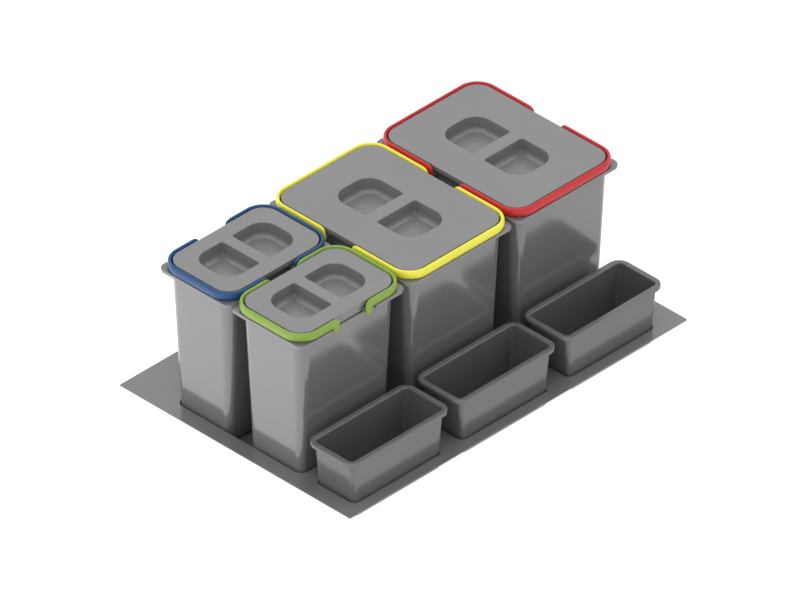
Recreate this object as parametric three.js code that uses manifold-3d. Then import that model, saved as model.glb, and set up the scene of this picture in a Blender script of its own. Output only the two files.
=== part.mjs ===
// Drawer insert for sorting household waste: one thin base tray with sunken
// pockets, four tapered bins with lids and two half-loop bail handles each,
// and three open organiser boxes in a row along the front.
// Millimetres, +Z up. X runs along the tray's long side, the organiser row is
// at -Y, and the undersides of the tray's pockets lie on Z = 0.

import * as THREE from 'three';
import { mergeVertices } from 'three/addons/utils/BufferGeometryUtils.js';
import Module from 'manifold-3d';

const wasm = await Module();
wasm.setup();

// ---------------------------------------------------------------- dimensions
const GAP = 0.3;             // between pieces that touch

// tray
const TRAY_X = 750;          // outside length of the flange
const TRAY_Y = 507;          // outside depth of the flange
const TRAY_T = 2;            // sheet thickness
const FLANGE_Z = 28.6;       // top of the flange above the pocket undersides
const FLANGE_R = 2.5;        // outside corners of the flange
const POCKET_DRAFT = 1.4;    // inward lean of a pocket wall over its depth
const POCKET_IN = 12;        // bin pocket inset from the lid outline
const POCKET_R = 14;         // plan corners of a bin pocket
const ORG_POCKET_R = 9;      // plan corners of an organiser pocket
const POCKET_FOOT = 5;       // radius between pocket wall and floor

// layout
const COLUMN_X = [-248.8, -11.4, 226.0];   // bin columns
const ORG_COLUMN_X = COLUMN_X.map((x) => x + 2.3);   // organisers
const LARGE_Y = 19.4;                      // centre of the two large bins
const BLUE_Y = 98.3;                       // centre of the rear small bin
const GREEN_Y = -59.5;                     // centre of the front small bin

// bins: every plan size is counted from the lid outline
const TOP_Z = 300;           // top of the lids
const LID_X = 108;           // half width of every lid
const LID_Y_LARGE = 149.2;   // half depth of a large lid
const LID_Y_SMALL = 70.1;    // half depth of a small lid
const LID_R = 30;            // plan corners of a lid
const LEDGE_Z = TOP_Z - 14.3; // top face of the bin rim, on which the handles lie
const RIM_OUT = 8.3;         // rim stands this far outside the lid outline
const RIM_R = 13;            // plan corners of the rim
const RIM_T = 2;             // thickness of rim and skirt
const SKIRT_H = 6.2;         // height of the rim with its down-turned skirt
const COLLAR_Z = TOP_Z - 2.5;  // top of the collar that carries the lid
const COLLAR_OUT = 5.2;      // outer face of the collar, inset from the lid outline
const COLLAR_IN = 7.0;       // inner face of the collar
const BODY_IN = 2.0;         // body inset from the lid outline at TOP_Z
const BODY_DRAFT = 0.0422;   // body inset gained per mm downwards
const BODY_R = 22.5;         // plan corners of the body, less what follows
const BODY_R_DROP = 0.75;    // the corners tighten by this share of the inset
const WALL = 1.8;            // wall and floor thickness
const FOOT_R = 7;            // radius between wall and floor
const BIN_Z = TRAY_T + GAP;  // underside of a bin

// bail handles
const BAND_IN = 1.8;         // inner face of the band outside the lid outline
const BAND_OUT = 8.6;        // outer face of the band
const BAND_T = 15.6;         // height of the band, which is oval in section
const BAND_END = 42;         // the band stops this far from the middle of the side
const TAB_IN = 28.2;         // inner edge of the down-turned end
const PIVOT_T = 35.7;        // pivot, along the side from its middle
const PIVOT_Z = TOP_Z - 17.6;  // pivot height
const PIN_R = 3;             // pivot pin
const PIN_IN = 6.6;          // the pin ends this far inside the lid outline
const PIN_HOLE_R = 3.3;      // hole for it in the bin wall
const BOSS_R = 6.6;          // boss around that hole
const NOTCH_HALF = 48;       // the rim is cut away this far to each side
const NOTCH_Z = TOP_Z - 22.5;  // and the wall is set back down to here

// lids
const LID_T = 2.2;           // top plate
const LID_H = 8.8;           // height of the lid's edge
const LID_SKIRT = 2;         // thickness of the edge and of the plug wall
const PLUG_IN = 8.6;         // plug wall inset from the lid outline
const PLUG_DEPTH = 19;       // plug reaches this far below the top
const CUP_DEPTH = 26;        // finger recess
const CUP_WALL = 2;
const CUP_R = 29;            // the two outer plan corners of a recess
const CUP_LARGE = { near: 12.5, far: 88, half: 42.5 };
const CUP_SMALL = { near: 11, far: 78, half: 41.5 };

// organisers
const ORG_X = 111.2;         // half width of the rim
const ORG_Y = 51.6;          // half depth of the rim
const ORG_CY = -189.1;       // centre line of the row
const ORG_TOP = 109.3;       // top of the rim
const ORG_R = 21;            // plan corners of the rim
const ORG_LIP = 6.5;         // height of the rim's lip
const ORG_BODY_IN = 8.4;     // body inset from the rim, at the top
const ORG_DRAFT_X = 0.1;     // extra inset per mm downwards at the short ends
const ORG_DRAFT_Y = 0.03;    // and at the long sides
const ORG_WALL = 2.2;
const ORG_BODY_R = 8.8;      // plan corners of the body at the top
const ORG_R_DROP = 0.025;    // by which they tighten per mm downwards

// ---------------------------------------------------------------- colours
const GREY = 0x96969a;
const DARK_GREY = 0x7d7d80;
const YELLOW = 0xf2e32b;
const RED = 0xd82630;
const BLUE = 0x1f5f9f;
const GREEN = 0x93c83a;

// ---------------------------------------------------------------- helpers
function toManifold(geometry) {
  const g = geometry.clone();
  g.deleteAttribute('normal');
  g.deleteAttribute('uv');
  const m = mergeVertices(g, 1e-4);
  return new wasm.Manifold(new wasm.Mesh({
    numProp: 3,
    vertProperties: new Float32Array(m.attributes.position.array),
    triVerts: new Uint32Array(m.index.array),
  }));
}

function toGeometry(manifold) {
  const m = manifold.getMesh();
  const n = m.numProp;
  const pos = new Float32Array(m.vertProperties.length / n * 3);
  for (let i = 0; i < pos.length / 3; i++) {
    for (let k = 0; k < 3; k++) pos[3 * i + k] = m.vertProperties[n * i + k];
  }
  const g = new THREE.BufferGeometry();
  g.setAttribute('position', new THREE.BufferAttribute(pos, 3));
  g.setIndex(new THREE.BufferAttribute(new Uint32Array(m.triVerts), 1));
  g.computeVertexNormals();
  return g;
}

const join = (...parts) => parts.reduce((a, b) => a.add(b));

// rounded rectangle with half sizes a, b
function roundRect(a, b, r) {
  const s = new THREE.Shape();
  s.moveTo(a - r, -b);
  s.absarc(a - r, -b + r, r, -Math.PI / 2, 0, false);
  s.absarc(a - r, b - r, r, 0, Math.PI / 2, false);
  s.absarc(-a + r, b - r, r, Math.PI / 2, Math.PI, false);
  s.absarc(-a + r, -b + r, r, Math.PI, 1.5 * Math.PI, false);
  s.closePath();
  return s;
}

// straight prism from z0 to z1
function prism(shape, z0, z1, curveSegments = 3) {
  const g = new THREE.ExtrudeGeometry(shape, { depth: z1 - z0, bevelEnabled: false, curveSegments });
  g.translate(0, 0, z0);
  return toManifold(g);
}

// prism of a rounded rectangle whose sides lean: levels is a list of
// [z, inset in x, inset in y, loss of corner radius], from the bottom up
function stack(a, b, r, levels, curveSegments = 3) {
  const n = levels.length - 1;
  const g = new THREE.ExtrudeGeometry(roundRect(a, b, r), {
    depth: n, steps: n, bevelEnabled: false, curveSegments,
  });
  const p = g.attributes.position;
  for (let i = 0; i < p.count; i++) {
    const [z, ix, iy, loss = 0] = levels[Math.round(p.getZ(i))];
    const rz = Math.max(r - loss, 0.5);
    const sx = Math.sign(p.getX(i));
    const sy = Math.sign(p.getY(i));
    p.setXYZ(i,
      sx * (a - ix - rz) + (p.getX(i) - sx * (a - r)) * rz / r,
      sy * (b - iy - rz) + (p.getY(i) - sy * (b - r)) * rz / r, z);
  }
  return toManifold(g);
}

function box(x0, x1, y0, y1, z0, z1) {
  const g = new THREE.BoxGeometry(x1 - x0, y1 - y0, z1 - z0);
  g.translate((x0 + x1) / 2, (y0 + y1) / 2, (z0 + z1) / 2);
  return toManifold(g);
}

// rounded foot: levels between the floor at z0 and the wall above it
function foot(z0, r, inset, steps = 4) {
  const out = [];
  for (let i = 0; i <= steps; i++) {
    const a = (Math.PI / 2) * (i / steps);
    const z = z0 + r * (1 - Math.cos(a));
    const k = r * (1 - Math.sin(a));
    const [ix, iy, loss = 0] = inset(z);
    out.push([z, ix + k, iy + k, loss + k]);
  }
  return out;
}

// ---------------------------------------------------------------- tray
function makeTray() {
  const pockets = [];
  for (const x of COLUMN_X.slice(1)) {
    pockets.push([x, LARGE_Y, LID_X - POCKET_IN, LID_Y_LARGE - POCKET_IN, POCKET_R]);
  }
  const y0 = GREEN_Y - LID_Y_SMALL + POCKET_IN;
  const y1 = BLUE_Y + LID_Y_SMALL - POCKET_IN;
  pockets.push([COLUMN_X[0], (y0 + y1) / 2, LID_X - POCKET_IN, (y1 - y0) / 2, POCKET_R]);
  for (const x of ORG_COLUMN_X) pockets.push([x, ORG_CY, ORG_X - 15, ORG_Y - 9.7, ORG_POCKET_R]);

  let tray = prism(roundRect(TRAY_X / 2, TRAY_Y / 2, FLANGE_R), FLANGE_Z - TRAY_T, FLANGE_Z, 2);
  const lean = (z) => POCKET_DRAFT * (FLANGE_Z - z) / FLANGE_Z;
  for (const [x, y, a, b, r] of pockets) {
    const outer = stack(a + TRAY_T, b + TRAY_T, r + TRAY_T,
      [...foot(0, POCKET_FOOT, (z) => [lean(z), lean(z)], 3), [FLANGE_Z - TRAY_T / 2, lean(FLANGE_Z - TRAY_T / 2), lean(FLANGE_Z - TRAY_T / 2)]], 3);
    tray = tray.add(outer.translate([x, y, 0]));
  }
  for (const [x, y, a, b, r] of pockets) {
    // the mouth of a pocket is eased by a small roll
    const inner = stack(a, b, r, [
      ...foot(TRAY_T, POCKET_FOOT - TRAY_T, (z) => [lean(z), lean(z)], 3),
      [FLANGE_Z - 2.2, lean(FLANGE_Z - 2.2), lean(FLANGE_Z - 2.2)],
      [FLANGE_Z - 0.8, -0.2, -0.2, -0.2],
      [FLANGE_Z + 1, -2.2, -2.2, -2.2],
    ], 3);
    tray = tray.subtract(inner.translate([x, y, 0]));
  }
  return tray;
}

// ---------------------------------------------------------------- bins
// built with the long side along Y; lidY is the half depth of its lid
const bodyInset = (z) => BODY_IN + BODY_DRAFT * (TOP_Z - z);

function makeBin(lidY, long) {
  const inset = (z) => [bodyInset(z), bodyInset(z), BODY_R_DROP * bodyInset(z)];
  const outline = (d, r) => roundRect(LID_X - d, lidY - d, r);
  const top = LEDGE_Z - RIM_T / 2;
  const outer = stack(LID_X, lidY, BODY_R, [
    ...foot(BIN_Z, FOOT_R, inset, 4), [top, ...inset(top)],
  ]);
  // the inside steps in under the rim, up to the collar that the lid rests on
  const step = COLLAR_IN - WALL;
  const widen = BODY_R - WALL - (LID_R - COLLAR_IN);
  let inner = stack(LID_X - WALL, lidY - WALL, BODY_R - WALL, [
    ...foot(BIN_Z + WALL, FOOT_R - WALL, inset, 4),
    [LEDGE_Z - RIM_T - 2, ...inset(LEDGE_Z - RIM_T - 2)],
    [LEDGE_Z - RIM_T, step, step, widen], [TOP_Z, step, step, widen],
  ]);
  const rim = stack(LID_X + RIM_OUT, lidY + RIM_OUT, RIM_R, [
    [LEDGE_Z - SKIRT_H, 0, 0], [LEDGE_Z - 0.8, 0, 0], [LEDGE_Z, 0.7, 0.7],
  ]);
  const under = prism(outline(RIM_T - RIM_OUT, RIM_R - RIM_T), LEDGE_Z - SKIRT_H - 1, LEDGE_Z - RIM_T);
  const collar = prism(outline(COLLAR_OUT, LID_R - COLLAR_OUT), LEDGE_Z - RIM_T, COLLAR_Z);
  let bin = join(outer, rim.subtract(under), collar);

  // in the middle of the two long sides the rim is cut away and the wall set
  // back, which leaves room for the handle ends and their pivot bosses
  const side = long === 'y' ? LID_X : lidY;
  const across = (half, d, z0, z1) => [-1, 1].map((s) => {
    const [n0, n1] = s > 0 ? [side - d, side + 20] : [-side - 20, -side + d];
    return long === 'y' ? box(n0, n1, -half, half, z0, z1) : box(-half, half, n0, n1, z0, z1);
  });
  for (const cut of across(NOTCH_HALF, COLLAR_OUT, NOTCH_Z, TOP_Z)) bin = bin.subtract(cut);
  for (const wall of across(NOTCH_HALF + WALL, COLLAR_IN, NOTCH_Z - WALL, LEDGE_Z)) inner = inner.subtract(wall);
  const pivotBar = (radius, length, t) => {
    const g = new THREE.CylinderGeometry(radius, radius, length, 16);
    if (long === 'y') g.rotateZ(Math.PI / 2);
    g.translate(long === 'y' ? 0 : t, long === 'y' ? t : 0, PIVOT_Z);
    return toManifold(g);
  };
  for (const t of [-PIVOT_T, PIVOT_T]) bin = bin.add(pivotBar(BOSS_R, 2 * (side + BAND_IN - GAP), t));
  bin = bin.subtract(inner);
  for (const t of [-PIVOT_T, PIVOT_T]) bin = bin.subtract(pivotBar(PIN_HOLE_R, 2 * side + 40, t));
  return bin;
}

// ---------------------------------------------------------------- handles
// half-loop over the +side of a bin: path in (t, n), t along the long side
function makeHandle(halfLong, halfShort) {
  // local frame: X along the long side (away from the middle), Y across
  const outA = halfShort + BAND_OUT;
  const inA = halfShort + BAND_IN;
  const e = BAND_END;
  const z0 = LEDGE_Z + GAP;
  const half = (BAND_OUT - BAND_IN) / 2;
  // oval section: [height share, loss of half width] from the bottom up
  const oval = [[0, 0.7 * half], [0.125, 0.28 * half], [0.5, 0], [0.875, 0.28 * half], [1, 0.7 * half]];
  const levels = (s) => oval.map(([k, d]) => [z0 + BAND_T * k, s * d, s * d, s * d]);
  const [low, ...rest] = levels(-1);
  const high = rest[rest.length - 1];
  const loop = stack(halfLong + BAND_OUT, outA, LID_R + BAND_OUT, levels(1), 4)
    .subtract(stack(halfLong + BAND_IN, inA, LID_R + BAND_IN, [
      [low[0] - 1, ...low.slice(1)], low, ...rest, [high[0] + 1, ...high.slice(1)],
    ], 4));
  let handle = loop.intersect(box(e, halfLong + 20, -outA - 5, outA + 5, z0 - 1, z0 + BAND_T + 1));

  // down-turned ends in the plane (t, z), one at each side, with their pins
  const tab = new THREE.Shape();
  const zt = z0 + BAND_T;
  const far = 2 * PIVOT_T - TAB_IN;
  tab.moveTo(e + 5.5, zt);
  tab.lineTo(TAB_IN + 7, zt);
  tab.quadraticCurveTo(TAB_IN, zt, TAB_IN, zt - 7);
  tab.lineTo(TAB_IN, PIVOT_Z);
  tab.absarc(PIVOT_T, PIVOT_Z, PIVOT_T - TAB_IN, Math.PI, 2 * Math.PI, false);
  tab.quadraticCurveTo(far, z0, e + 5.5, z0);
  tab.closePath();
  for (const s of [-1, 1]) {
    const g = new THREE.ExtrudeGeometry(tab, { depth: BAND_OUT - BAND_IN, bevelEnabled: false, curveSegments: 3 });
    g.rotateX(Math.PI / 2);                       // (t, z, n) -> X, Z, -Y
    g.translate(0, s > 0 ? outA : -inA, 0);
    handle = handle.add(toManifold(g));
    const length = BAND_IN + 0.5 + PIN_IN;
    const pin = new THREE.CylinderGeometry(PIN_R, PIN_R, length, 16);
    pin.translate(PIVOT_T, s * (inA + 0.5 - length / 2), PIVOT_Z);
    handle = handle.add(toManifold(pin));
  }
  return handle;
}

// ---------------------------------------------------------------- lids
// finger recess in the local frame: X away from the middle bar
function cupShape(c, grow) {
  const s = new THREE.Shape();
  const x0 = c.near - grow;
  const x1 = c.far + grow;
  const h = c.half + grow;
  const r = CUP_R + grow;
  const q = 4 + grow;
  s.moveTo(x0 + q, -h);
  s.lineTo(x1 - r, -h);
  s.absarc(x1 - r, -h + r, r, -Math.PI / 2, 0, false);
  s.absarc(x1 - r, h - r, r, 0, Math.PI / 2, false);
  s.lineTo(x0 + q, h);
  s.absarc(x0 + q, h - q, q, Math.PI / 2, Math.PI, false);
  s.absarc(x0 + q, -h + q, q, Math.PI, 1.5 * Math.PI, false);
  s.closePath();
  return s;
}

function makeLid(lidY, long) {
  const cup = long === 'y' ? CUP_LARGE : CUP_SMALL;
  const seat = TOP_Z - LID_H;
  const outline = (d) => roundRect(LID_X - d, lidY - d, LID_R - d);
  // outer cap with an eased edge
  let lid = stack(LID_X, lidY, LID_R, [
    [seat, 0, 0], [TOP_Z - 0.8, 0, 0], [TOP_Z - 0.2, 0.25, 0.25], [TOP_Z, 0.8, 0.8],
  ]);
  lid = lid.subtract(prism(outline(LID_SKIRT), seat - 1, TOP_Z - LID_T));
  // plug wall that reaches into the bin mouth
  const plug = prism(outline(PLUG_IN), TOP_Z - PLUG_DEPTH, TOP_Z - LID_T / 2)
    .subtract(prism(outline(PLUG_IN + LID_SKIRT), TOP_Z - PLUG_DEPTH - 1, TOP_Z));
  lid = lid.add(plug);
  for (const s of [0, 1]) {
    const turn = (long === 'y' ? 90 : 0) + 180 * s;
    lid = lid.add(prism(cupShape(cup, CUP_WALL), TOP_Z - CUP_DEPTH - CUP_WALL, TOP_Z - LID_T / 2).rotate([0, 0, turn]));
  }
  for (const s of [0, 1]) {
    const turn = (long === 'y' ? 90 : 0) + 180 * s;
    lid = lid.subtract(prism(cupShape(cup, 0), TOP_Z - CUP_DEPTH, TOP_Z + 1).rotate([0, 0, turn]));
  }
  return lid;
}

// ---------------------------------------------------------------- organisers
function makeOrganiser() {
  const inset = (z) => [
    ORG_BODY_IN + ORG_DRAFT_X * (ORG_TOP - z), ORG_BODY_IN + ORG_DRAFT_Y * (ORG_TOP - z),
    ORG_R_DROP * (ORG_TOP - z)];
  const top = ORG_TOP - 1;
  const outer = stack(ORG_X, ORG_Y, ORG_BODY_R, [...foot(BIN_Z, 5, inset, 3), [top, ...inset(top)]], 3);
  const rim = stack(ORG_X, ORG_Y, ORG_R, [
    [ORG_TOP - ORG_LIP, 0, 0], [ORG_TOP - 1.4, 0, 0], [ORG_TOP - 0.4, 0.4, 0.4], [ORG_TOP, 1.4, 1.4],
  ], 3).subtract(prism(roundRect(ORG_X - 2, ORG_Y - 2, ORG_R - 2), ORG_TOP - ORG_LIP - 1, ORG_TOP - 2.2, 3));
  const w = ORG_WALL;
  const inner = stack(ORG_X - w, ORG_Y - w, ORG_BODY_R - w, [
    ...foot(BIN_Z + w, 5 - w, inset, 3),
    [ORG_TOP - 1.6, ...inset(ORG_TOP - 1.6)],
    [ORG_TOP - 0.4, ORG_BODY_IN - 0.6, ORG_BODY_IN - 0.6, -0.6],
    [ORG_TOP + 1, ORG_BODY_IN - 2.6, ORG_BODY_IN - 2.6, -2.6],
  ], 3);
  return outer.add(rim).subtract(inner);
}

// ---------------------------------------------------------------- assembly
const group = new THREE.Group();
group.name = 'waste_sorting_drawer_insert';

function place(name, manifold, color, roughness, x = 0, y = 0, turn = 0) {
  const mesh = new THREE.Mesh(
    toGeometry(manifold),
    new THREE.MeshStandardMaterial({ color, roughness, metalness: 0 }),
  );
  mesh.name = name;
  mesh.position.set(x, y, 0);
  mesh.rotation.z = turn;
  group.add(mesh);
  return mesh;
}

place('base_tray', makeTray(), DARK_GREY, 0.4);

const bins = [
  { key: 'large_yellow', x: COLUMN_X[1], y: LARGE_Y, lidY: LID_Y_LARGE, long: 'y', color: YELLOW },
  { key: 'large_red', x: COLUMN_X[2], y: LARGE_Y, lidY: LID_Y_LARGE, long: 'y', color: RED },
  { key: 'small_blue', x: COLUMN_X[0], y: BLUE_Y, lidY: LID_Y_SMALL, long: 'x', color: BLUE },
  { key: 'small_green', x: COLUMN_X[0], y: GREEN_Y, lidY: LID_Y_SMALL, long: 'x', color: GREEN },
];

for (const b of bins) {
  place(`bin_${b.key}`, makeBin(b.lidY, b.long), GREY, 0.3, b.x, b.y);
  place(`lid_${b.key}`, makeLid(b.lidY, b.long), GREY, 0.35, b.x, b.y);
  const [halfLong, halfShort] = b.long === 'y' ? [b.lidY, LID_X] : [LID_X, b.lidY];
  const base = b.long === 'y' ? Math.PI / 2 : 0;
  const [plus, minus] = b.long === 'y' ? ['rear', 'front'] : ['right', 'left'];
  place(`handle_${b.key}_${plus}`, makeHandle(halfLong, halfShort), b.color, 0.3, b.x, b.y, base);
  place(`handle_${b.key}_${minus}`, makeHandle(halfLong, halfShort), b.color, 0.3, b.x, b.y, base + Math.PI);
}

['left', 'middle', 'right'].forEach((side, i) => {
  place(`organiser_${side}`, makeOrganiser(), DARK_GREY, 0.3, ORG_COLUMN_X[i], ORG_CY);
});

export default group;
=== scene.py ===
import math

import bmesh
import bpy
from mathutils import Matrix, Vector


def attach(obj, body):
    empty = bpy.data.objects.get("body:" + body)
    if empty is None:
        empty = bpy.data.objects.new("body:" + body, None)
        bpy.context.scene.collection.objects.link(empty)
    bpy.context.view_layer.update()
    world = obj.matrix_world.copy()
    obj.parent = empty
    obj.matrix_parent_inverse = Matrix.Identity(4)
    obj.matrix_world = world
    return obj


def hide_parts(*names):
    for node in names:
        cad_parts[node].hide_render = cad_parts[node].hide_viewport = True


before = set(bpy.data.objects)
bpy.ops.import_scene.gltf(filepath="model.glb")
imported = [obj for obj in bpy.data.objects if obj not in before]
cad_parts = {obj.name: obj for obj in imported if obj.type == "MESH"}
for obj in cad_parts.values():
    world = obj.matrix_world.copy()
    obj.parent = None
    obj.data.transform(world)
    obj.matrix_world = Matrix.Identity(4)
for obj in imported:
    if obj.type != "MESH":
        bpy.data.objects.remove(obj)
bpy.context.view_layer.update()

# Drawer insert for sorting waste. Lengths below are millimetres in the frame
# of the construction; meshes are written in metres.
MM = 0.001

GAP = 0.3
TRAY_X, TRAY_Y, TRAY_T = 750.0, 507.0, 2.0
FLANGE_Z, FLANGE_R = 28.6, 2.5
POCKET_DRAFT, POCKET_IN, POCKET_R, ORG_POCKET_R, POCKET_FOOT = 1.4, 12.0, 14.0, 9.0, 5.0
COLUMN_X = (-248.8, -11.4, 226.0)
ORG_COLUMN_X = tuple(x + 2.3 for x in COLUMN_X)
LARGE_Y, BLUE_Y, GREEN_Y = 19.4, 98.3, -59.5
TOP_Z = 300.0
LID_X, LID_Y_LARGE, LID_Y_SMALL, LID_R = 108.0, 149.2, 70.1, 30.0
LEDGE_Z = TOP_Z - 14.3
RIM_OUT, RIM_R, RIM_T, SKIRT_H = 8.3, 13.0, 2.0, 6.2
COLLAR_Z, COLLAR_OUT, COLLAR_IN = TOP_Z - 2.5, 5.2, 7.0
BODY_IN, BODY_DRAFT, BODY_R, BODY_R_DROP = 2.0, 0.0422, 22.5, 0.75
WALL, FOOT_R, BIN_Z = 1.8, 7.0, TRAY_T + GAP
BAND_IN, BAND_OUT, BAND_T, BAND_END = 1.8, 8.6, 15.6, 42.0
TAB_IN, PIVOT_T, PIVOT_Z = 28.2, 35.7, TOP_Z - 17.6
PIN_R, PIN_IN, PIN_HOLE_R, BOSS_R = 3.0, 6.6, 3.3, 6.6
NOTCH_HALF, NOTCH_Z = 48.0, TOP_Z - 22.5
LID_T, LID_H, LID_SKIRT, PLUG_IN, PLUG_DEPTH = 2.2, 8.8, 2.0, 8.6, 19.0
CUP_DEPTH, CUP_WALL, CUP_R = 26.0, 2.0, 29.0
CUP_LARGE = (12.5, 88.0, 42.5)
CUP_SMALL = (11.0, 78.0, 41.5)
ORG_X, ORG_Y, ORG_CY, ORG_TOP = 111.2, 51.6, -189.1, 109.3
ORG_R, ORG_LIP, ORG_BODY_IN = 21.0, 6.5, 8.4
ORG_DRAFT_X, ORG_DRAFT_Y, ORG_WALL, ORG_BODY_R, ORG_R_DROP = 0.1, 0.03, 2.2, 8.8, 0.025

CORNER = 20      # segments round a plan corner


# ------------------------------------------------------------------ outlines
def outline(a, b, r, n=CORNER):
    """Rounded rectangle with half sizes a, b, counter-clockwise from above."""
    r = max(r, 0.05)
    pts = []
    for cx, cy, start in ((a - r, -b + r, -90), (a - r, b - r, 0), (-a + r, b - r, 90), (-a + r, -b + r, 180)):
        for i in range(n + 1):
            t = math.radians(start + 90.0 * i / n)
            pts.append((cx + r * math.cos(t), cy + r * math.sin(t)))
    return pts


def ring(a, b, r, z, n=CORNER):
    return [(x, y, z) for x, y in outline(a, b, r, n)]


def cup_outline(cup, grow, near_grow=None, n=14):
    """Finger recess: square by the grip bar, widely rounded at the far side."""
    near, far, half = cup
    near_grow = grow if near_grow is None else near_grow
    x0, x1, h = near - near_grow, far + grow, half + grow
    r, q = max(CUP_R + grow, 0.3), max(4 + grow, 0.3)
    pts = []
    for cx, cy, start, rad in ((x1 - r, -h + r, -90, r), (x1 - r, h - r, 0, r),
                               (x0 + q, h - q, 90, q), (x0 + q, -h + q, 180, q)):
        for i in range(n + 1):
            t = math.radians(start + 90.0 * i / n)
            pts.append((cx + rad * math.cos(t), cy + rad * math.sin(t)))
    return pts


# ------------------------------------------------------------------ meshes
def loft(rings, closed=False):
    """Closed surface through rings of equal point counts."""
    bm = bmesh.new()
    loops = [[bm.verts.new(p) for p in r] for r in rings]
    n = len(rings[0])
    pairs = list(zip(loops, loops[1:]))
    if closed:
        pairs.append((loops[-1], loops[0]))
    for low, high in pairs:
        for i in range(n):
            j = (i + 1) % n
            bm.faces.new((low[i], low[j], high[j], high[i]))
    if not closed:
        bm.faces.new(list(reversed(loops[0])))
        bm.faces.new(loops[-1])
    mesh = bpy.data.meshes.new("part")
    bm.to_mesh(mesh)
    bm.free()
    return mesh


def rod(radius, length, edge=0.5, sides=40):
    """Cylinder along Z with eased ends, centred on the origin."""
    h = length / 2
    levels = []
    for i in range(5):
        t = math.radians(90.0 * i / 4)
        levels.append((radius - edge + edge * math.sin(t), -h + edge - edge * math.cos(t)))
    levels += [(rr, -z) for rr, z in reversed(levels)]
    return loft([[(rr * math.cos(2 * math.pi * k / sides), rr * math.sin(2 * math.pi * k / sides), z)
                  for k in range(sides)] for rr, z in levels])


def block(x0, x1, y0, y1, z0, z1, edge=0.0):
    a, b = (x1 - x0) / 2, (y1 - y0) / 2
    mesh = loft([ring(a, b, max(edge, 0.05), z, 4) for z in (z0, z1)])
    return moved(mesh, (x0 + x1) / 2, (y0 + y1) / 2)


def moved(mesh, x=0.0, y=0.0, z=0.0, turn=0.0):
    mesh.transform(Matrix.Translation((x, y, z)) @ Matrix.Rotation(math.radians(turn), 4, "Z"))
    return mesh


def aligned(mesh, axis, x, y, z):
    """A rod along X or Y at a place."""
    spin = Matrix.Rotation(math.radians(90), 4, "Y" if axis == "x" else "X")
    mesh.transform(Matrix.Translation((x, y, z)) @ spin)
    return mesh


def combine(base, others, operation):
    """Boolean of closed meshes; others is a list of meshes."""
    a = bpy.data.objects.new("a", base)
    bpy.context.scene.collection.objects.link(a)
    used = [a]
    for m in others:
        b = bpy.data.objects.new("b", m)
        bpy.context.scene.collection.objects.link(b)
        used.append(b)
        mod = a.modifiers.new("cut", "BOOLEAN")
        mod.object = b
        mod.operation = operation
        mod.solver = "MANIFOLD"
    bpy.context.view_layer.update()
    dg = bpy.context.evaluated_depsgraph_get()
    out = bpy.data.meshes.new_from_object(a.evaluated_get(dg))
    for o in used:
        old = o.data
        bpy.data.objects.remove(o)
        bpy.data.meshes.remove(old)
    return out


def merged(meshes):
    """Meshes that lie apart, as one."""
    bm = bmesh.new()
    for m in meshes:
        bm.from_mesh(m)
        bpy.data.meshes.remove(m)
    out = bpy.data.meshes.new("part")
    bm.to_mesh(out)
    bm.free()
    return out


def arc(cx, cz, r, start, end, steps):
    """Points (offset, z) on an arc, degrees."""
    return [(cx + r * math.cos(math.radians(start + (end - start) * i / steps)),
             cz + r * math.sin(math.radians(start + (end - start) * i / steps))) for i in range(steps + 1)]


def foot_levels(z0, r, inset, steps=8):
    """(z, inset x, inset y, extra) up the radius between floor and wall."""
    out = []
    for i in range(steps + 1):
        t = math.radians(90.0 * i / steps)
        z = z0 + r * (1 - math.cos(t))
        k = r * (1 - math.sin(t))
        ix, iy = inset(z)
        out.append((z, ix + k, iy + k, k))
    return out


# ------------------------------------------------------------------ tray
def tray_mesh():
    pockets = [(x, LARGE_Y, LID_X - POCKET_IN, LID_Y_LARGE - POCKET_IN, POCKET_R) for x in COLUMN_X[1:]]
    y0, y1 = GREEN_Y - LID_Y_SMALL + POCKET_IN, BLUE_Y + LID_Y_SMALL - POCKET_IN
    pockets.append((COLUMN_X[0], (y0 + y1) / 2, LID_X - POCKET_IN, (y1 - y0) / 2, POCKET_R))
    pockets += [(x, ORG_CY, ORG_X - 15, ORG_Y - 9.7, ORG_POCKET_R) for x in ORG_COLUMN_X]

    edge = 0.5
    levels = [(-edge + d, z) for d, z in (
        arc(0, FLANGE_Z - TRAY_T + edge, edge, 270, 360, 4) + arc(0, FLANGE_Z - edge, edge, 0, 90, 4))]
    sheet = loft([ring(TRAY_X / 2 + d, TRAY_Y / 2 + d, FLANGE_R + d, z, 10) for d, z in levels])

    def lean(z):
        return POCKET_DRAFT * (FLANGE_Z - z) / FLANGE_Z

    outers, inners = [], []
    for x, y, a, b, r in pockets:
        a2, b2, r2 = a + TRAY_T, b + TRAY_T, r + TRAY_T
        rings = [ring(a2 - ix, b2 - iy, r2 - k, z) for z, ix, iy, k in
                 foot_levels(0.0, POCKET_FOOT, lambda q: (lean(q), lean(q)), 6)]
        top = FLANGE_Z - TRAY_T
        # underside of the roll that leads from the wall into the flange
        for d, z in arc(2.6, top - 2.2, 2.2, 180, 100, 6):
            rings.append(ring(a2 - lean(z) + d - 0.4, b2 - lean(z) + d - 0.4, r2 + d - 0.4, z))
        rings.append(ring(a2 + 2.2, b2 + 2.2, r2 + 2.2, FLANGE_Z - 0.9))
        outers.append(moved(loft(rings), x, y))
        rings = [ring(a - ix, b - iy, r - k, z) for z, ix, iy, k in
                 foot_levels(TRAY_T, POCKET_FOOT - TRAY_T + 0.6, lambda q: (lean(q), lean(q)), 6)]
        for d, z in arc(3.0, FLANGE_Z - 3.0, 3.0, 180, 98, 8):
            rings.append(ring(a - lean(z) + d, b - lean(z) + d, r + d, z))
        rings.append(ring(a + 3.4, b + 3.4, r + 3.4, FLANGE_Z + 1))
        inners.append(moved(loft(rings), x, y))
    return combine(combine(sheet, outers, "UNION"), inners, "DIFFERENCE")


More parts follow.
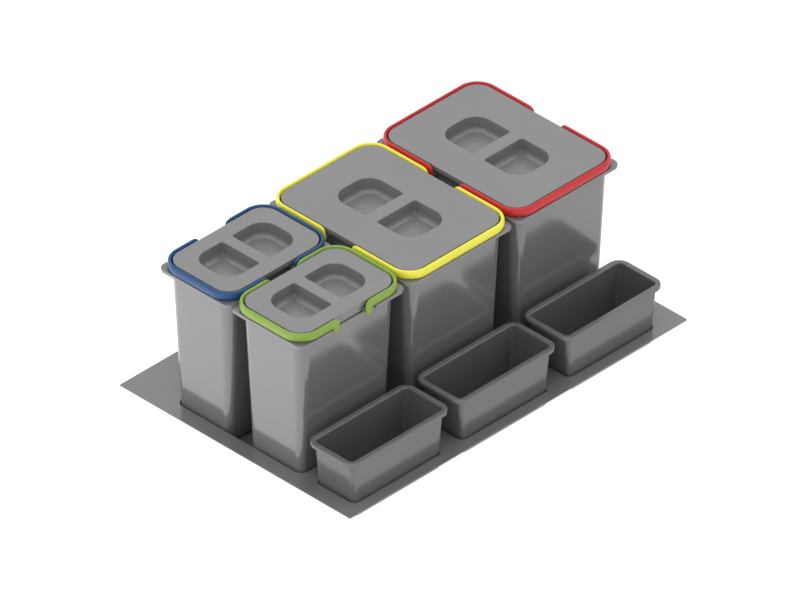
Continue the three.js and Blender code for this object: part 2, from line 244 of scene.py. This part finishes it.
# ------------------------------------------------------------------ bins
def body_inset(z):
    return BODY_IN + BODY_DRAFT * (TOP_Z - z)


def bin_mesh(lid_y, long):
    def inset(z):
        return body_inset(z), body_inset(z)

    def body_ring(extra, z, k=0.0):
        """Ring of the tapered body; extra moves it outwards, k is the foot."""
        i = body_inset(z) + k - extra
        return ring(LID_X - i, lid_y - i, BODY_R - BODY_R_DROP * body_inset(z) - k + extra, z)

    rings = [body_ring(0.0, z, k) for z, ix, iy, k in foot_levels(BIN_Z, FOOT_R, inset, 8)]
    under = LEDGE_Z - RIM_T
    low = LEDGE_Z - SKIRT_H
    # wall to the underside of the rim, with a root fillet
    for d, z in arc(1.6, under - 1.6, 1.6, 180, 90, 5):
        rings.append(body_ring(d, z))
    inner_edge = RIM_OUT - RIM_T
    for d, z in ((inner_edge, under), (inner_edge, low + 0.6)):
        rings.append(ring(LID_X + d, lid_y + d, RIM_R - RIM_T, z))
    for d, z in arc(RIM_OUT - 1.0, low + 0.9, 0.9, 180, 360, 8):
        rings.append(ring(LID_X + d, lid_y + d, RIM_R - RIM_OUT + d, z))
    for d, z in arc(RIM_OUT - 1.2, LEDGE_Z - 1.2, 1.2, 0, 90, 6):
        rings.append(ring(LID_X + d, lid_y + d, RIM_R - RIM_OUT + d, z))
    # across the ledge, up and over the collar and down the inside
    for d, z in (arc(0.8 - COLLAR_OUT, LEDGE_Z + 0.8, 0.8, 270, 180, 4)
                 + arc(-0.5 - COLLAR_OUT, COLLAR_Z - 0.5, 0.5, 0, 90, 4)
                 + arc(0.5 - COLLAR_IN, COLLAR_Z - 0.5, 0.5, 90, 180, 4) + [(-COLLAR_IN, under)]):
        rings.append(ring(LID_X + d, lid_y + d, LID_R + d, z))
    rings.append(body_ring(-WALL, under - 2))
    for z, ix, iy, k in reversed(foot_levels(BIN_Z + WALL, FOOT_R - WALL, inset, 8)):
        rings.append(body_ring(-WALL, z, k))
    shell = loft(rings)

    side = LID_X if long == "y" else lid_y

    def across(t0, t1, n0, n1, z0, z1, edge=0.0):
        if long == "y":
            return block(n0, n1, t0, t1, z0, z1, edge)
        return block(t0, t1, n0, n1, z0, z1, edge)

    backs, cuts, adds, holes = [], [], [], []
    for s in (-1, 1):
        # the wall is set back to the collar where the handle ends lie
        b0, b1 = sorted((s * (side - COLLAR_IN), s * (side - 3.6)))
        backs.append(across(-NOTCH_HALF - WALL, NOTCH_HALF + WALL, b0, b1, NOTCH_Z - WALL, LEDGE_Z - 1.0, 0.8))
        n0, n1 = sorted((s * (side - COLLAR_OUT), s * (side + 20)))
        cuts.append(across(-NOTCH_HALF, NOTCH_HALF, n0, n1, NOTCH_Z, TOP_Z, 0.8))
        for e in (-1, 1):
            # ribs that close the rim where it stops
            t0, t1 = sorted((e * NOTCH_HALF, e * (NOTCH_HALF + 1.6)))
            r0, r1 = sorted((s * (side - 4), s * (side + RIM_OUT - 0.5)))
            adds.append(across(t0, t1, r0, r1, low + 0.4, LEDGE_Z - 0.5))
            t = e * PIVOT_T
            length = BAND_IN - GAP + COLLAR_IN - 0.6
            at = s * (side + BAND_IN - GAP - length / 2)
            boss = rod(BOSS_R, length, 0.6)
            hole = rod(PIN_HOLE_R, 30, 0.2, 32)
            if long == "y":
                adds.append(aligned(boss, "x", at, t, PIVOT_Z))
                holes.append(aligned(hole, "x", s * side, t, PIVOT_Z))
            else:
                adds.append(aligned(boss, "y", t, at, PIVOT_Z))
                holes.append(aligned(hole, "y", t, s * side, PIVOT_Z))
    shell = combine(combine(shell, backs, "UNION"), cuts, "DIFFERENCE")
    return combine(combine(shell, adds, "UNION"), holes, "DIFFERENCE")


# ------------------------------------------------------------------ lids
def lid_mesh(lid_y, long):
    cup = CUP_LARGE if long == "y" else CUP_SMALL
    seat = TOP_Z - LID_H

    def level(d, z):
        return ring(LID_X - d, lid_y - d, LID_R - d, z)

    edge = 1.3
    rings = [level(LID_SKIRT, TOP_Z - LID_T), level(LID_SKIRT, seat + 0.3), level(LID_SKIRT - 0.3, seat),
             level(0.3, seat), level(0, seat + 0.3)]
    rings += [level(edge - d, z) for d, z in arc(0, TOP_Z - edge, edge, 0, 90, 7)]
    cap = loft(rings)
    low = TOP_Z - PLUG_DEPTH
    plug = loft([level(PLUG_IN + d, z) for d, z in (
        (0.5, low), (0, low + 0.7), (0, TOP_Z - 1.1), (LID_SKIRT, TOP_Z - 1.1), (LID_SKIRT, low + 0.5),
        (LID_SKIRT - 0.5, low))], closed=True)
    adds, cuts = [plug], []
    floor = TOP_Z - CUP_DEPTH
    fillet = 9.0
    for s in (0, 1):
        turn = (90 if long == "y" else 0) + 180 * s
        outer = [[(x, y, z) for x, y in cup_outline(cup, CUP_WALL - k)] for z, k in
                 [(floor - CUP_WALL + 6.0 * (1 - math.cos(math.radians(a))), 6.0 * (1 - math.sin(math.radians(a))))
                  for a in (0, 18, 36, 54, 72, 90)] + [(TOP_Z - 1.0, 0)]]
        adds.append(moved(loft(outer), turn=turn))
        inner = []
        for i in range(13):
            a = math.radians(90.0 * i / 12)
            k = fillet * (1 - math.sin(a))
            inner.append([(x, y, floor + fillet * (1 - math.cos(a))) for x, y in cup_outline(cup, -k)])
        # eased mouth: a wider roll on the grip bar
        for i in range(7):
            a = math.radians(80.0 * i / 6)
            g, near = 1.1 * (1 - math.cos(a)), 2.4 * (1 - math.cos(a))
            z = TOP_Z - 1.9 + 1.95 * math.sin(a)
            inner.append([(x, y, z) for x, y in cup_outline(cup, g, near)])
        inner.append([(x, y, TOP_Z + 1) for x, y in cup_outline(cup, 1.3, 2.6)])
        cuts.append(moved(loft(inner), turn=turn))
    return combine(combine(cap, adds, "UNION"), cuts, "DIFFERENCE")


# ------------------------------------------------------------------ handles
def handle_mesh(half_long, half_short):
    z0 = LEDGE_Z + GAP
    zt = z0 + BAND_T
    mid = (BAND_IN + BAND_OUT) / 2
    half = (BAND_OUT - BAND_IN) / 2
    e = BAND_END
    stations = []                     # (upper point, lower point, outward normal)

    # one end: (t, z) of the upper and lower edge, from the straight to the tip
    ends = []
    for t in (e + 16, e + 9):
        ends.append(((t, zt), (t, z0)))
    far = 2 * PIVOT_T - TAB_IN
    p = ((e + 2, zt), (TAB_IN + 4, zt), (TAB_IN, zt - 4), (TAB_IN, PIVOT_Z))
    q = ((e + 5.5, z0), (far, z0), (far, PIVOT_Z))
    for i in range(17):
        s = i / 16
        u = tuple((1 - s) ** 3 * p[0][k] + 3 * (1 - s) ** 2 * s * p[1][k] + 3 * (1 - s) * s * s * p[2][k] + s ** 3 * p[3][k]
                  for k in (0, 1))
        v = tuple((1 - s) ** 2 * q[0][k] + 2 * (1 - s) * s * q[1][k] + s * s * q[2][k] for k in (0, 1))
        ends.append((u, v))
    rad = PIVOT_T - TAB_IN
    for i in range(1, 13):
        a = math.radians(84.0 * i / 12)
        z = PIVOT_Z - rad * math.sin(a)
        ends.append(((PIVOT_T - rad * math.cos(a), z), (PIVOT_T + rad * math.cos(a), z)))

    def end(sign):
        n = sign * (half_short + mid)
        return [(Vector((u[0], n, u[1])), Vector((v[0], n, v[1])), Vector((0, sign, 0))) for u, v in ends]

    stations += list(reversed(end(-1)))
    r = LID_R + mid
    a_, b_ = half_long + mid, half_short + mid
    for cx, cy, start in ((a_ - r, -b_ + r, -90), (a_ - r, b_ - r, 0)):
        for i in range(25):
            t = math.radians(start + 90.0 * i / 24)
            n = Vector((math.cos(t), math.sin(t), 0))
            c = Vector((cx + r * n.x, cy + r * n.y, 0))
            stations.append((c + Vector((0, 0, zt)), c + Vector((0, 0, z0)), n))
    stations += end(1)

    # oval section, a little fuller than an ellipse, thinner towards the tips
    rings = []
    for u, v, n in stations:
        c = (u + v) / 2
        h = (u - v).length / 2
        up = (u - v).normalized()
        thick = half * min(1.0, 0.45 + 0.55 * math.sqrt(min(1.0, h / 7.0)))
        pts = []
        for i in range(32):
            t = 2 * math.pi * i / 32
            x, y = math.cos(t), math.sin(t)
            pts.append(tuple(c + n * (thick * math.copysign(abs(x) ** 0.9, x)) + up * (h * math.copysign(abs(y) ** 0.9, y))))
        rings.append(pts)
    band = loft(rings)
    if sum(f.area * f.normal.dot(f.center) for f in band.polygons) < 0:
        band.flip_normals()
    pins = []
    for s in (-1, 1):
        length = BAND_IN + 0.5 + PIN_IN
        at = s * (half_short + BAND_IN - length / 2 + 0.5)
        pins.append(aligned(rod(PIN_R, length, 0.6, 32), "y", PIVOT_T, at, PIVOT_Z))
    return combine(band, pins, "UNION")


# ------------------------------------------------------------------ organisers
def organiser_mesh():
    def inset(z):
        return (ORG_BODY_IN + ORG_DRAFT_X * (ORG_TOP - z), ORG_BODY_IN + ORG_DRAFT_Y * (ORG_TOP - z))

    def corner(z):
        return ORG_BODY_R - ORG_R_DROP * (ORG_TOP - z)

    rings = [ring(ORG_X - ix, ORG_Y - iy, corner(z) - k, z) for z, ix, iy, k in foot_levels(BIN_Z, 5, inset, 7)]
    under = ORG_TOP - 2.2
    for d, z in arc(1.5, under - 1.5, 1.5, 180, 90, 5):
        ix, iy = inset(z)
        rings.append(ring(ORG_X - ix + d, ORG_Y - iy + d, corner(z) + d, z))
    for d, z in ((-2.0, under), (-2.0, ORG_TOP - ORG_LIP + 0.5)):
        rings.append(ring(ORG_X + d, ORG_Y + d, ORG_R + d, z))
    for d, z in arc(-1.0, ORG_TOP - ORG_LIP + 1.0, 1.0, 180, 360, 8):
        rings.append(ring(ORG_X + d, ORG_Y + d, ORG_R + d, z))
    for d, z in arc(-1.8, ORG_TOP - 1.8, 1.8, 0, 90, 7):
        rings.append(ring(ORG_X + d, ORG_Y + d, ORG_R + d, z))
    mouth = -ORG_BODY_IN - ORG_WALL
    for d, z in arc(mouth + 2.4, ORG_TOP - 2.4, 2.4, 90, 180, 7):
        rings.append(ring(ORG_X + d, ORG_Y + d, ORG_BODY_R - ORG_WALL + d - mouth, z))
    for z, ix, iy, k in reversed(foot_levels(BIN_Z + ORG_WALL, 5 - ORG_WALL + 1.2, inset, 7)):
        rings.append(ring(ORG_X - ORG_WALL - ix, ORG_Y - ORG_WALL - iy, corner(z) - ORG_WALL - k, z))
    return loft(rings)


# ------------------------------------------------------------------ finish
def moulded_plastic(name, colour, tone, rough, ior, grain=4.5e-6, wave=1.0e-4):
    """Injection-moulded plastic: spark-eroded grain, slow waviness of the
    wall, faint flow-line tone changes and uneven gloss."""
    mat = bpy.data.materials.new(name)
    mat.use_nodes = True
    nt = mat.node_tree
    nodes, links = nt.nodes, nt.links
    bsdf = nodes["Principled BSDF"]
    bsdf.inputs["IOR"].default_value = ior
    bsdf.inputs["Metallic"].default_value = 0.0
    where = nodes.new("ShaderNodeTexCoord")

    def noise(scale, detail, rough_, stretch=(1, 1, 1)):
        m = nodes.new("ShaderNodeMapping")
        m.inputs["Scale"].default_value = stretch
        links.new(where.outputs["Object"], m.inputs["Vector"])
        n = nodes.new("ShaderNodeTexNoise")
        n.inputs["Scale"].default_value = scale
        n.inputs["Detail"].default_value = detail
        n.inputs["Roughness"].default_value = rough_
        links.new(m.outputs["Vector"], n.inputs["Vector"])
        return n

    flow = noise(9.0, 4.0, 0.55, (1.0, 1.0, 0.35))
    ramp = nodes.new("ShaderNodeValToRGB")
    ramp.color_ramp.elements[0].position = 0.3
    ramp.color_ramp.elements[1].position = 0.7
    ramp.color_ramp.elements[0].color = [*(c * (1 - tone) for c in colour), 1]
    ramp.color_ramp.elements[1].color = [*(min(1, c * (1 + tone)) for c in colour), 1]
    links.new(flow.outputs["Fac"], ramp.inputs["Fac"])
    links.new(ramp.outputs["Color"], bsdf.inputs["Base Color"])

    gloss = noise(140.0, 3.0, 0.6)
    spread = nodes.new("ShaderNodeMapRange")
    spread.inputs["From Min"].default_value = 0.3
    spread.inputs["From Max"].default_value = 0.7
    spread.inputs["To Min"].default_value = rough[0]
    spread.inputs["To Max"].default_value = rough[1]
    links.new(gloss.outputs["Fac"], spread.inputs["Value"])
    links.new(spread.outputs["Result"], bsdf.inputs["Roughness"])

    slow = nodes.new("ShaderNodeBump")
    slow.inputs["Distance"].default_value = wave
    slow.inputs["Strength"].default_value = 1.0
    links.new(noise(11.0, 1.0, 0.4).outputs["Fac"], slow.inputs["Height"])
    fine = nodes.new("ShaderNodeBump")
    fine.inputs["Distance"].default_value = grain
    fine.inputs["Strength"].default_value = 1.0
    links.new(noise(1500.0, 2.0, 0.5).outputs["Fac"], fine.inputs["Height"])
    links.new(slow.outputs["Normal"], fine.inputs["Normal"])
    links.new(fine.outputs["Normal"], bsdf.inputs["Normal"])
    return mat


def grey(v, tint=0.0):
    return (v, v, v * (1 + tint))


materials = {
    "tray_grey": moulded_plastic("tray_sheet", grey(0.145, 0.02), 0.05, (0.16, 0.26), 1.8, grain=4e-6, wave=2.5e-4),
    "bin_grey": moulded_plastic("bin_plastic", grey(0.13, 0.02), 0.03, (0.10, 0.17), 1.85, grain=2.5e-6),
    "lid_grey": moulded_plastic("lid_plastic", grey(0.172, 0.02), 0.03, (0.27, 0.32), 1.6, grain=2.5e-6),
    "organiser_grey": moulded_plastic("organiser_plastic", grey(0.105, 0.02), 0.03, (0.14, 0.22), 1.6, grain=2.5e-6),
    "handle_yellow": moulded_plastic("yellow_plastic", (0.74, 0.70, 0.06), 0.04, (0.22, 0.32), 1.38, grain=2.5e-6),
    "handle_red": moulded_plastic("red_plastic", (0.50, 0.02, 0.025), 0.04, (0.22, 0.32), 1.38, grain=2.5e-6),
    "handle_blue": moulded_plastic("blue_plastic", (0.012, 0.064, 0.17), 0.04, (0.22, 0.32), 1.38, grain=2.5e-6),
    "handle_green": moulded_plastic("green_plastic", (0.20, 0.32, 0.045), 0.04, (0.22, 0.32), 1.38, grain=2.5e-6),
}


def finish_piece(mesh, name, node, body, slot, x=0.0, y=0.0, turn=0.0, sharp=44.0):
    """Place a mesh in the frame, in metres, shaded smooth with crisp edges."""
    moved(mesh, x, y, turn=turn)
    mesh.transform(Matrix.Scale(MM, 4))
    bm = bmesh.new()
    bm.from_mesh(mesh)
    bmesh.ops.remove_doubles(bm, verts=bm.verts, dist=2e-6)
    bmesh.ops.dissolve_degenerate(bm, dist=1e-6, edges=bm.edges)
    for f in bm.faces:
        f.smooth = True
        f.material_index = 0
    limit = math.radians(sharp)
    for e in bm.edges:
        e.smooth = len(e.link_faces) == 2 and e.calc_face_angle(0) < limit
    bm.to_mesh(mesh)
    bm.free()
    mesh.materials.clear()
    mesh.materials.append(materials[slot])
    obj = bpy.data.objects.new(name, mesh)
    mesh.name = name
    bpy.context.scene.collection.objects.link(obj)
    soft = obj.modifiers.new("even normals", "WEIGHTED_NORMAL")
    soft.mode = "FACE_AREA"
    soft.weight = 50
    soft.keep_sharp = True
    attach(obj, body)
    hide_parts(node)
    return obj


finish_piece(tray_mesh(), "tray_sheet", "base_tray", "tray", "tray_grey")

BINS = (
    ("large_yellow", COLUMN_X[1], LARGE_Y, LID_Y_LARGE, "y", "handle_yellow"),
    ("large_red", COLUMN_X[2], LARGE_Y, LID_Y_LARGE, "y", "handle_red"),
    ("small_blue", COLUMN_X[0], BLUE_Y, LID_Y_SMALL, "x", "handle_blue"),
    ("small_green", COLUMN_X[0], GREEN_Y, LID_Y_SMALL, "x", "handle_green"),
)
made = {}
for key, x, y, lid_y, long, colour in BINS:
    for kind, maker in (("bin", bin_mesh), ("lid", lid_mesh)):
        if (kind, long) not in made:
            made[kind, long] = maker(lid_y, long)
        node = f"{kind}_{key}"
        finish_piece(made[kind, long].copy(), f"{kind}_shell_{key}", node, node, f"{kind}_grey", x, y)
    half_long, half_short = (lid_y, LID_X) if long == "y" else (LID_X, lid_y)
    if ("handle", long) not in made:
        made["handle", long] = handle_mesh(half_long, half_short)
    base = 90 if long == "y" else 0
    names = ("rear", "front") if long == "y" else ("right", "left")
    for side, turn in zip(names, (base, base + 180)):
        node = f"handle_{key}_{side}"
        finish_piece(made["handle", long].copy(), f"bail_{key}_{side}", node, node, colour, x, y, turn)
organiser = organiser_mesh()
for side, x in zip(("left", "middle", "right"), ORG_COLUMN_X):
    node = f"organiser_{side}"
    finish_piece(organiser.copy(), f"box_{side}", node, node, "organiser_grey", x, ORG_CY)
for m in [*made.values(), organiser]:
    bpy.data.meshes.remove(m)

# ------------------------------------------------------------------ stage
# plain pale floor, self-lit so that its contact shadow stays faint; its emission is painted light, stronger towards
# the -X, +Y side on the object's left
floor_mesh = bpy.data.meshes.new("floor")
bm = bmesh.new()
bmesh.ops.create_circle(bm, cap_ends=True, radius=60.0, segments=96)
bm.to_mesh(floor_mesh)
bm.free()
floor = bpy.data.objects.new("floor", floor_mesh)
bpy.context.scene.collection.objects.link(floor)
floor.location = (0, 0, -0.0004)
fm = bpy.data.materials.new("pale_floor")
fm.use_nodes = True
nt = fm.node_tree
fb = nt.nodes["Principled BSDF"]
fb.inputs["Base Color"].default_value = (0.15, 0.15, 0.15, 1)
fb.inputs["Roughness"].default_value = 0.9
fb.inputs["Specular IOR Level"].default_value = 0.0
fb.inputs["Emission Color"].default_value = (1, 1, 1, 1)
pos = nt.nodes.new("ShaderNodeNewGeometry")
across = nt.nodes.new("ShaderNodeVectorMath")
across.operation = "DOT_PRODUCT"
across.inputs[1].default_value = (-0.7071, 0.7071, 0)
nt.links.new(pos.outputs["Position"], across.inputs[0])
# painted light: the floor's emission rises from 1.0 to 1.7 towards the -X, +Y side
painted_glow = nt.nodes.new("ShaderNodeMapRange")
painted_glow.interpolation_type = "SMOOTHSTEP"
painted_glow.inputs["From Min"].default_value = -0.2
painted_glow.inputs["From Max"].default_value = 0.8
painted_glow.inputs["To Min"].default_value = 1.0
painted_glow.inputs["To Max"].default_value = 1.7
nt.links.new(across.outputs["Value"], painted_glow.inputs["Value"])
nt.links.new(painted_glow.outputs["Result"], fb.inputs["Emission Strength"])
floor_mesh.materials.append(fm)

# soft sky: brighter behind the object and to its left than behind the viewer
world = bpy.data.worlds.new("soft_sky")
bpy.context.scene.world = world
world.use_nodes = True
nt = world.node_tree
bg = nt.nodes["Background"]
bg.inputs["Color"].default_value = (1, 1, 1, 1)
way = nt.nodes.new("ShaderNodeTexCoord")
dot = nt.nodes.new("ShaderNodeVectorMath")
dot.operation = "DOT_PRODUCT"
d = Vector((-0.35, 0.9, 0.25)).normalized()
dot.inputs[1].default_value = d
nt.links.new(way.outputs["Generated"], dot.inputs[0])
grade = nt.nodes.new("ShaderNodeMapRange")
grade.inputs["From Min"].default_value = -0.8
grade.inputs["From Max"].default_value = 0.8
grade.inputs["To Min"].default_value = 0.88
grade.inputs["To Max"].default_value = 0.95
nt.links.new(dot.outputs["Value"], grade.inputs["Value"])
# and brightest overhead, as under a large diffuser
height = nt.nodes.new("ShaderNodeSeparateXYZ")
nt.links.new(way.outputs["Generated"], height.inputs[0])
overhead = nt.nodes.new("ShaderNodeMapRange")
overhead.interpolation_type = "SMOOTHSTEP"
overhead.inputs["From Min"].default_value = 0.5
overhead.inputs["From Max"].default_value = 1.0
overhead.inputs["To Min"].default_value = 0.0
overhead.inputs["To Max"].default_value = 0.9
nt.links.new(height.outputs["Z"], overhead.inputs["Value"])
total = nt.nodes.new("ShaderNodeMath")
total.operation = "ADD"
nt.links.new(grade.outputs["Result"], total.inputs[0])
nt.links.new(overhead.outputs["Result"], total.inputs[1])
nt.links.new(total.outputs["Value"], bg.inputs["Strength"])


def softbox(name, at, aim, size, watts):
    light = bpy.data.lights.new(name, "AREA")
    light.shape = "DISK"
    light.size = size
    light.energy = watts
    o = bpy.data.objects.new(name, light)
    bpy.context.scene.collection.objects.link(o)
    o.location = at
    o.rotation_mode = "QUATERNION"
    o.rotation_quaternion = (Vector(aim) - Vector(at)).to_track_quat("-Z", "Y")
    return o


softbox("key_left", (-4.5, 0.8, 2.6), (0, 0, 0.15), 3.0, 16)

bpy.context.scene.view_settings.view_transform = "Standard"

# ------------------------------------------------------------------ camera
AZ, EL, DIST = math.radians(-45.323), math.radians(35.108), 30.6
aim = Vector((-0.0094, -0.0005, 0.1326))
back = Vector((math.sin(AZ) * math.cos(EL), -math.cos(AZ) * math.cos(EL), math.sin(EL)))
cam_data = bpy.data.cameras.new("camera")
cam = bpy.data.objects.new("camera", cam_data)
bpy.context.scene.collection.objects.link(cam)
cam_data.sensor_width = 36.0
cam_data.lens = 883.5
cam_data.clip_start, cam_data.clip_end = 1.0, 120.0
cam.rotation_mode = "QUATERNION"
cam.location = aim + back * DIST
cam.rotation_quaternion = (-back).to_track_quat("-Z", "Y")
bpy.context.scene.camera = cam

bpy.context.view_layer.update()
